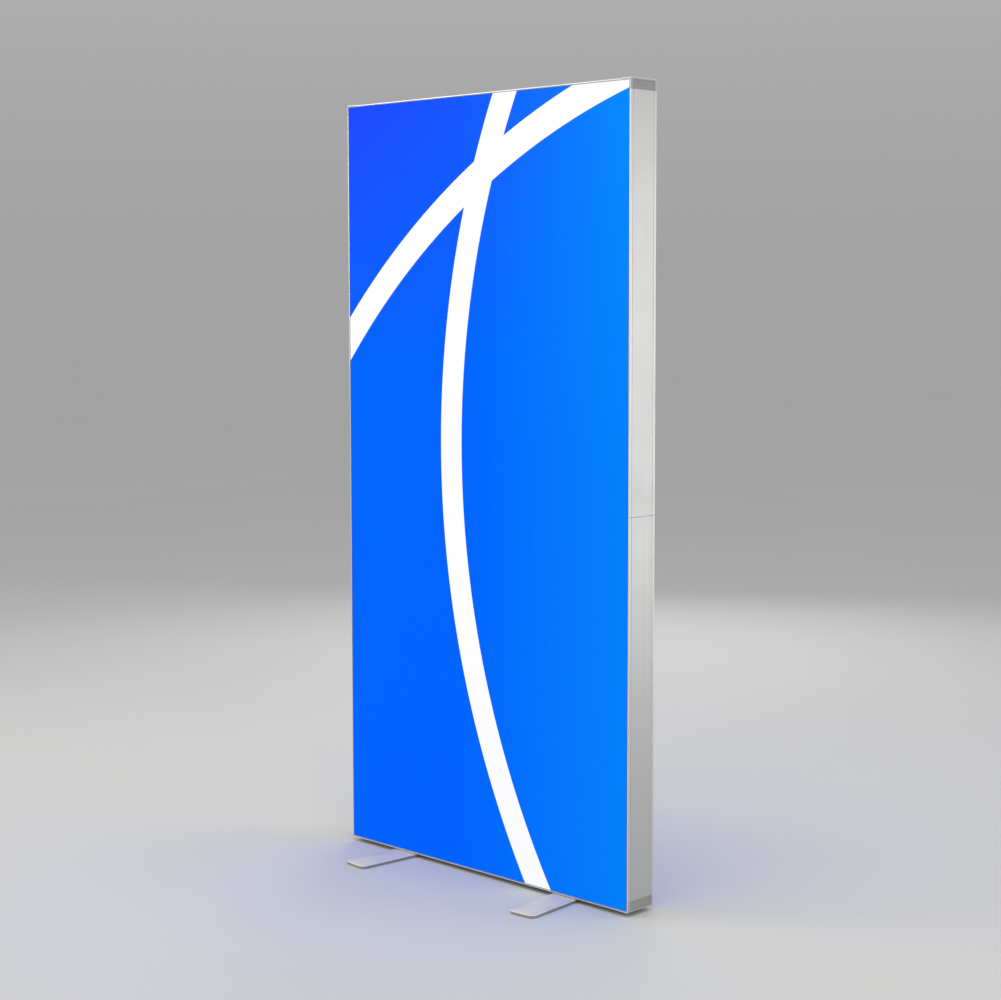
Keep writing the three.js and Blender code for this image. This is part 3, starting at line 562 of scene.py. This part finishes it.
def bridge(bm, rings, closed=False):
    """Joins rings of points with quads. Returns the last ring's cap, or None where the rings close."""
    made = [[bm.verts.new(point) for point in ring] for ring in rings]
    following = made[1:] + (made[:1] if closed else [])
    for first, second in zip(made, following):
        for j in range(len(first)):
            k = (j + 1) % len(first)
            bm.faces.new((first[j], first[k], second[k], second[j]))
    if closed:
        return None
    bm.faces.new(made[0][::-1])
    return bm.faces.new(made[-1])


def circle(steps):
    """Angles at even steps round a circle."""
    return [2 * math.pi * i / steps for i in range(steps)]


def tube(bm, points, radius, sides=8, closed=False):
    """A tube along a list of points, whose ends are capped unless the points are a closed loop."""
    rings = []
    for i, point in enumerate(points):
        last = len(points) - 1
        before = points[i - 1] if i or closed else point
        after = points[0 if i == last else i + 1] if i < last or closed else point
        turn = (after - before).to_track_quat("Z", "Y").to_matrix()
        spokes = [Vector((radius * math.cos(a), radius * math.sin(a), 0)) for a in circle(sides)]
        rings.append([point + turn @ spoke for spoke in spokes])
    bridge(bm, rings, closed)


# ---- Fabric skins ----------------------------------------------------------------------------------

SHOULDER = 1.6 * MM  # radius of the fabric's turn into the groove
SHOULDER_STEPS = 5
RETURN_GAP = 0.15 * MM  # the fabric's return lies this far outside its silicone strip
CLOTH = 0.25 * MM
GRID_ACROSS, GRID_UP = 20, 40


def fabric(face, facing):
    """One skin: a taut sheet whose edges turn into the groove and run down outside the strips."""
    low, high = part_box(f"{face}_skin")
    strip_low, strip_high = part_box(f"{face}_left_edge_strip")
    outer = low.y if facing < 0 else high.y
    depth = strip_high.y - strip_low.y
    bm = bmesh.new()
    inset = SHOULDER - RETURN_GAP
    xs = [low.x + inset + (high.x - low.x - 2 * inset) * i / GRID_ACROSS for i in range(GRID_ACROSS + 1)]
    zs = [low.z + inset + (high.z - low.z - 2 * inset) * i / GRID_UP for i in range(GRID_UP + 1)]
    grid = [[bm.verts.new((x, outer, z)) for x in xs] for z in zs]
    for lower, upper in zip(grid, grid[1:]):
        for i in range(GRID_ACROSS):
            bm.faces.new((lower[i], lower[i + 1], upper[i + 1], upper[i]))
    rim = grid[0] + [row[-1] for row in grid[1:-1]] + grid[-1][::-1] + [row[0] for row in grid[-2:0:-1]]
    flat = [vert.co.copy() for vert in rim]
    turns = [math.pi / 2 * (i + 1) / SHOULDER_STEPS for i in range(SHOULDER_STEPS)]
    steps = [(SHOULDER * math.sin(a), SHOULDER * (1 - math.cos(a))) for a in turns]
    steps.append((SHOULDER, depth))
    for out, back in steps:
        ring = []
        for point in flat:
            x = point.x + out * ((point.x == xs[-1]) - (point.x == xs[0]))
            z = point.z + out * ((point.z == zs[-1]) - (point.z == zs[0]))
            ring.append(bm.verts.new((x, outer - facing * back, z)))
        for i in range(len(rim)):
            j = (i + 1) % len(rim)
            bm.faces.new((rim[i], rim[j], ring[j], ring[i]))
        rim = ring
    sheet = finish_piece(f"{face}_fabric", bm, f"{face}_print", replaces=[f"{face}_skin"])
    thick = sheet.modifiers.new("cloth", "SOLIDIFY")
    thick.thickness = CLOTH
    thick.offset = -1


fabric("front", -1)
fabric("rear", 1)

# ---- Springs ---------------------------------------------------------------------------------------

WIRE = 0.45 * MM  # radius of the spring's wire
COILS = 5
COIL_STEPS = 20


def button_spring(side, end):
    """A wound spring in its pocket, its coils running out from its seat."""
    node = f"{side}_{end}_button_spring"
    low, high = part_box(node)
    middle = (low + high) / 2
    radius = (high.z - low.z) / 2 - WIRE
    inwards = 1 if side == "left" else -1
    seat = low.x if side == "left" else high.x
    length = high.x - low.x
    points = []
    total = COILS * COIL_STEPS
    for i in range(total + 1):
        angle = 2 * math.pi * i / COIL_STEPS
        run = WIRE + (length - 2 * WIRE) * i / total
        point = (seat + inwards * run, radius * math.cos(angle), middle.z + radius * math.sin(angle))
        points.append(Vector(point))
    bm = bmesh.new()
    tube(bm, points, WIRE)
    made = finish_piece(f"{node}_coil", bm, "spring", replaces=[node])
    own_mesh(made)


for side in SIDES:
    for end in ENDS:
        button_spring(side, end)

# ---- Screws ----------------------------------------------------------------------------------------

SCREW_SIDES = 24

# A screw head's rings, from its seat over its top and down its socket: the radius and the height, both
# as shares of the head's radius, and whether the ring is a hexagon.
SCREW_RINGS = (
    (1.0, 0.0, False),
    (1.0, 0.16, False),
    (0.92, 0.36, False),
    (0.68, 0.54, False),
    (0.5, 0.56, True),
    (0.47, 0.18, True),
)


def hexagon(angle):
    """How far out a hexagon's side lies at an angle, where its corners lie at 1."""
    sixth = math.pi / 3
    return math.cos(sixth / 2) / math.cos(angle % sixth - sixth / 2)


def screws(name, radius, spots):
    """Button-head screws with hexagon sockets. A spot is a point on a surface and the way it faces."""
    bm = bmesh.new()
    for place, facing in spots:
        turn = Vector(facing).to_track_quat("Z", "Y").to_matrix()
        rings = []
        for out, height, is_hexagon in SCREW_RINGS:
            ring = []
            for angle in circle(SCREW_SIDES):
                reach = radius * out * (hexagon(angle) if is_hexagon else 1)
                spoke = Vector((reach * math.cos(angle), reach * math.sin(angle), radius * height))
                ring.append(Vector(place) + turn @ spoke)
            rings.append(ring)
        bridge(bm, rings)
    finish_piece(name, bm, "plated")


RIB_HEIGHT = 1.2 * MM  # of the ribs on an upright's inner face
PLATE = 2 * MM  # thickness of a bracket and of the driver's tray
BOARD_THICKNESS = 1.6 * MM
# The radius of each kind of screw's head.
HEAD = {"splice": 3.2 * MM, "bracket": 3 * MM, "tray": 3 * MM, "cover": 1.8 * MM, "board": 1.6 * MM}
SPLICE_SHARES = (-0.75, -0.35, 0.35, 0.75)  # up a splice from its middle, in shares of half its length
BRACKET_SCREW = {"across": 6.5 * MM, "from_top": 6.5 * MM}
TRAY_SCREW = {"across": 13 * MM, "from_end": 8.5 * MM}
COVER_SCREW = {"across": 19 * MM, "from_back": (4 * MM, 17 * MM)}
BOARD_SCREW = {"across": 9.9 * MM, "every": 4}  # in the gaps between the lenses, every fourth gap


def inner_face(side):
    """The level of an upright's inner face, between its ribs, and the way that it faces along X."""
    low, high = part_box(f"{side}_upright_lower")
    return (high.x - RIB_HEIGHT, 1) if side == "left" else (low.x + RIB_HEIGHT, -1)


def both_ways(distance):
    """The same distance on either side of a middle."""
    return (-distance, distance)


def side_screws(side):
    """The screws of an upright's splice, two to each length, and of its cross-bar bracket."""
    level, way = inner_face(side)
    low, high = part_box(f"{side}_splice")
    middle, half = (low.z + high.z) / 2, (high.z - low.z) / 2
    spots = [((level, 0, middle + half * share), (way, 0, 0)) for share in SPLICE_SHARES]
    screws(f"{side}_splice_screws", HEAD["splice"], spots)

    low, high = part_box(f"{side}_crossbar_bracket")
    level = low.x + PLATE if side == "left" else high.x - PLATE
    height = high.z - BRACKET_SCREW["from_top"]
    spots = [((level, y, height), (way, 0, 0)) for y in both_ways(BRACKET_SCREW["across"])]
    screws(f"{side}_bracket_screws", HEAD["bracket"], spots)


def driver_screws():
    """The screws that hold the driver's tray to the upright, and the driver's two end covers."""
    low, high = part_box("driver_tray")
    ends = (low.z + TRAY_SCREW["from_end"], high.z - TRAY_SCREW["from_end"])
    across = both_ways(TRAY_SCREW["across"])
    spots = [((low.x + PLATE, y, z), (1, 0, 0)) for z in ends for y in across]
    screws("driver_tray_screws", HEAD["tray"], spots)

    low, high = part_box("led_driver")
    spots = []
    for level, way in ((low.z, -1), (high.z, 1)):
        for back in COVER_SCREW["from_back"]:
            spots += [((low.x + back, y, level), (0, 0, way)) for y in both_ways(COVER_SCREW["across"])]
    screws("driver_cover_screws", HEAD["cover"], spots)


# ---- LED rows ----------------------------------------------------------------------------------------

LENS_COUNT = 14
# An LED package's rings: half of the width, and the height over the board, both in millimetres.
PACKAGE_RINGS = ((1.75, 0.0), (1.75, 0.2), (1.65, 0.24), (1.3, 0.24), (1.25, 0.18))


def led_row(end):
    """A package under each lens, and the board's screws between lenses."""
    low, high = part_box(f"{end}_led_optics")
    board_low, board_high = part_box(f"{end}_led_board")
    way = 1 if end == "bottom" else -1
    level = board_low.z + BOARD_THICKNESS if end == "bottom" else board_high.z - BOARD_THICKNESS
    pitch = (high.x - low.x) / LENS_COUNT
    bm = bmesh.new()
    for i in range(LENS_COUNT):
        x = low.x + pitch * (i + 0.5)
        rings = []
        for half, height in PACKAGE_RINGS:
            corners = ((-1, -1), (1, -1), (1, 1), (-1, 1))
            z = level + way * height * MM
            rings.append([Vector((x + a * half * MM, b * half * MM, z)) for a, b in corners])
        bridge(bm, rings).material_index = 1
    packages = finish_piece(f"{end}_led_packages", bm, "package", smooth=False)
    packages.data.materials.append(LOOKS["phosphor"])

    across = both_ways(BOARD_SCREW["across"])
    along = [low.x + pitch * i for i in range(1, LENS_COUNT, BOARD_SCREW["every"])]
    spots = [((x, y, level), (0, 0, way)) for x in along for y in across]
    screws(f"{end}_board_screws", HEAD["board"], spots)


# ---- Lead clips ----------------------------------------------------------------------------------------

CLIP = {"foot": 5 * MM, "foot_thick": 1.4 * MM, "neck": 1.5 * MM, "wall": 1.1 * MM, "length": 7 * MM}
CLIP_GAP = 0.15 * MM  # between a clip's hook and the lead
CLIP_OPENING = math.radians(40)  # half of the angle that a clip's hook leaves open
CLIP_STEPS = 14
# Heights of the clips on the riser lead's two lengths.
LOWER_CLIPS = [height * MM for height in (560, 700, 840, 980)]
UPPER_CLIPS = [height * MM for height in (1140, 1320, 1500, 1680, 1840)]


def arc(centre, radius, start, end):
    """Points on an arc, as (out, across)."""
    angles = [start + (end - start) * i / CLIP_STEPS for i in range(CLIP_STEPS + 1)]
    return [(centre + radius * math.cos(a), radius * math.sin(a)) for a in angles]


def clip_outline(reach, lead_radius):
    """A clip's section, from the profile outwards: a foot, a neck and a hook round the lead."""
    inner = lead_radius + CLIP_GAP
    outer = inner + CLIP["wall"]
    join = math.pi - math.asin(CLIP["neck"] / outer)
    near, thick, wide = CLIP["neck"], CLIP["foot_thick"], CLIP["foot"]
    low = [(0, -wide), (thick, -wide), (thick, -near), *arc(reach, outer, -join, -CLIP_OPENING)]
    hook = arc(reach, inner, -CLIP_OPENING, CLIP_OPENING - 2 * math.pi)
    high = [*arc(reach, outer, CLIP_OPENING, join), (thick, near), (thick, wide), (0, wide)]
    return low + hook + high


def lead_clips(name, heights):
    """Clips that hold the riser lead against the left upright."""
    low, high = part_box("riser_connector")
    riser = (low + high) / 2
    level = inner_face("left")[0]
    outline = clip_outline(riser.x - level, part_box("upper_riser_lead")[1].y - riser.y)
    bm = bmesh.new()
    for height in heights:
        ends = (height - CLIP["length"] / 2, height + CLIP["length"] / 2)
        bridge(bm, [[Vector((level + out, riser.y + across, z)) for out, across in outline] for z in ends])
    finish_piece(name, bm, "nylon")


# ---- Switch marks --------------------------------------------------------------------------------------

OUTWARD = -0.8  # a face of the rocker looks outwards where its normal is below this along X
MARK_WIRE = 0.3 * MM
MARK_RADIUS = 1.9 * MM
MARK_STEPS = 28


def rocker_marks():
    """The switch's on and off marks: a bar and a ring, raised on the two halves of its face."""
    faces = [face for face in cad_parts["rocker_switch"].data.polygons if face.normal.x < OUTWARD]
    bm = bmesh.new()
    for half in (-1, 1):
        own = [face for face in faces if face.center.y * half > 0]
        area = sum(face.area for face in own)
        middle = sum((face.center * face.area for face in own), Vector()) / area
        up = Vector((0, 0, 1))
        along = own[0].normal.cross(up).normalized()
        if half < 0:
            tube(bm, [middle - along * MARK_RADIUS, middle + along * MARK_RADIUS], MARK_WIRE)
        else:
            spokes = [along * math.cos(a) + up * math.sin(a) for a in circle(MARK_STEPS)]
            tube(bm, [middle + spoke * MARK_RADIUS for spoke in spokes], MARK_WIRE, closed=True)
    finish_piece("rocker_marks", bm, "nylon", body="rocker_body")


for side in SIDES:
    side_screws(side)
for end in ENDS:
    led_row(end)
driver_screws()
lead_clips("lower_riser_clips", LOWER_CLIPS)
lead_clips("upper_riser_clips", UPPER_CLIPS)
rocker_marks()

# ---- Stage, lights and camera ------------------------------------------------------------------------


FLOOR_HALF = 40


def floor():
    """A plain pale floor under the part."""
    look = Look("pale_floor", (212, 212, 211), 0.9, Specular_IOR_Level=0.0)
    look.colour(look.mix(look.spread(look.noise(0.9), 0.3, 0.7), (211, 211, 210), (213, 213, 212)))
    bm = bmesh.new()
    bmesh.ops.create_grid(bm, x_segments=1, y_segments=1, size=FLOOR_HALF)
    mesh = bpy.data.meshes.new("floor")
    bm.to_mesh(mesh)
    bm.free()
    mesh.materials.append(look.material)
    made = bpy.data.objects.new("floor", mesh)
    bpy.context.scene.collection.objects.link(made)


def softbox(name, place, target, size, power, spread=180):
    """An area light at a place, turned to a target. Its light spreads over the given angle, in degrees."""
    light = bpy.data.lights.new(name, "AREA")
    light.shape = "RECTANGLE"
    light.size, light.size_y = size
    light.energy = power
    light.spread = math.radians(spread)
    made = bpy.data.objects.new(name, light)
    made.location = place
    made.rotation_euler = (Vector(target) - Vector(place)).to_track_quat("-Z", "Y").to_euler()
    bpy.context.scene.collection.objects.link(made)


SKY_LIGHT = 0.56
HORIZON_LIGHT = 0.65 * SKY_LIGHT  # as bright as the far floor, so that floor and surroundings meet unseen
SKY_START = 0.4  # sine of the height above the horizon where the sky reaches its full brightness


def surroundings():
    """A plain studio that is paler above than at the horizon."""
    world = bpy.data.worlds.new("studio")
    world.use_nodes = True
    tree = world.node_tree
    split = tree.nodes.new("ShaderNodeSeparateXYZ")
    tree.links.new(tree.nodes.new("ShaderNodeTexCoord").outputs["Generated"], split.inputs[0])
    level = tree.nodes.new("ShaderNodeMapRange")
    level.interpolation_type = "SMOOTHSTEP"
    for socket, value in (("From Max", SKY_START), ("To Min", HORIZON_LIGHT), ("To Max", SKY_LIGHT)):
        level.inputs[socket].default_value = value
    tree.links.new(split.outputs["Z"], level.inputs["Value"])
    backdrop = tree.nodes["Background"]
    backdrop.inputs["Color"].default_value = (1, 1, 1, 1)
    tree.links.new(level.outputs[0], backdrop.inputs["Strength"])
    scene = bpy.context.scene
    scene.world = world
    scene.view_settings.view_transform = "Standard"


CAMERA_PLACE = (3.569, -3.624, 1.5)
CAMERA_LENS = 71.52  # millimetres
CAMERA_SENSOR = 36  # millimetres
CAMERA_SHIFT = -0.04  # share of the picture's width
CAMERA_YAW, CAMERA_PITCH, CAMERA_ROLL = 44.35, -4.71, -0.09  # degrees


def camera():
    """The camera. A small lens shift lets it look down less, so that verticals stay nearly upright."""
    data = bpy.data.cameras.new("camera")
    data.lens = CAMERA_LENS
    data.sensor_width = CAMERA_SENSOR
    data.shift_y = CAMERA_SHIFT
    made = bpy.data.objects.new("camera", data)
    level = Matrix.Rotation(math.radians(90 + CAMERA_PITCH), 4, "X")
    turned = Matrix.Rotation(math.radians(CAMERA_YAW), 4, "Z") @ level
    rolled = turned @ Matrix.Rotation(math.radians(CAMERA_ROLL), 4, "Z")
    made.matrix_world = Matrix.Translation(CAMERA_PLACE) @ rolled
    bpy.context.scene.collection.objects.link(made)
    bpy.context.scene.camera = made


floor()
surroundings()
camera()
softbox("overhead", (0.5, -0.5, 4.2), (0, 0, 0.8), (3, 3), 62)
softbox("right_side", (3.0, 2.2, 1.2), (0.5, 0, 1.15), (1.6, 2.2), 8, 90)
softbox("left_front", (-3.0, -3.0, 2.4), (0, 0, 1.0), (2, 2), 36)
softbox("rear", (-2.5, 3.5, 2.4), (0, 0, 1.0), (2, 2), 36)
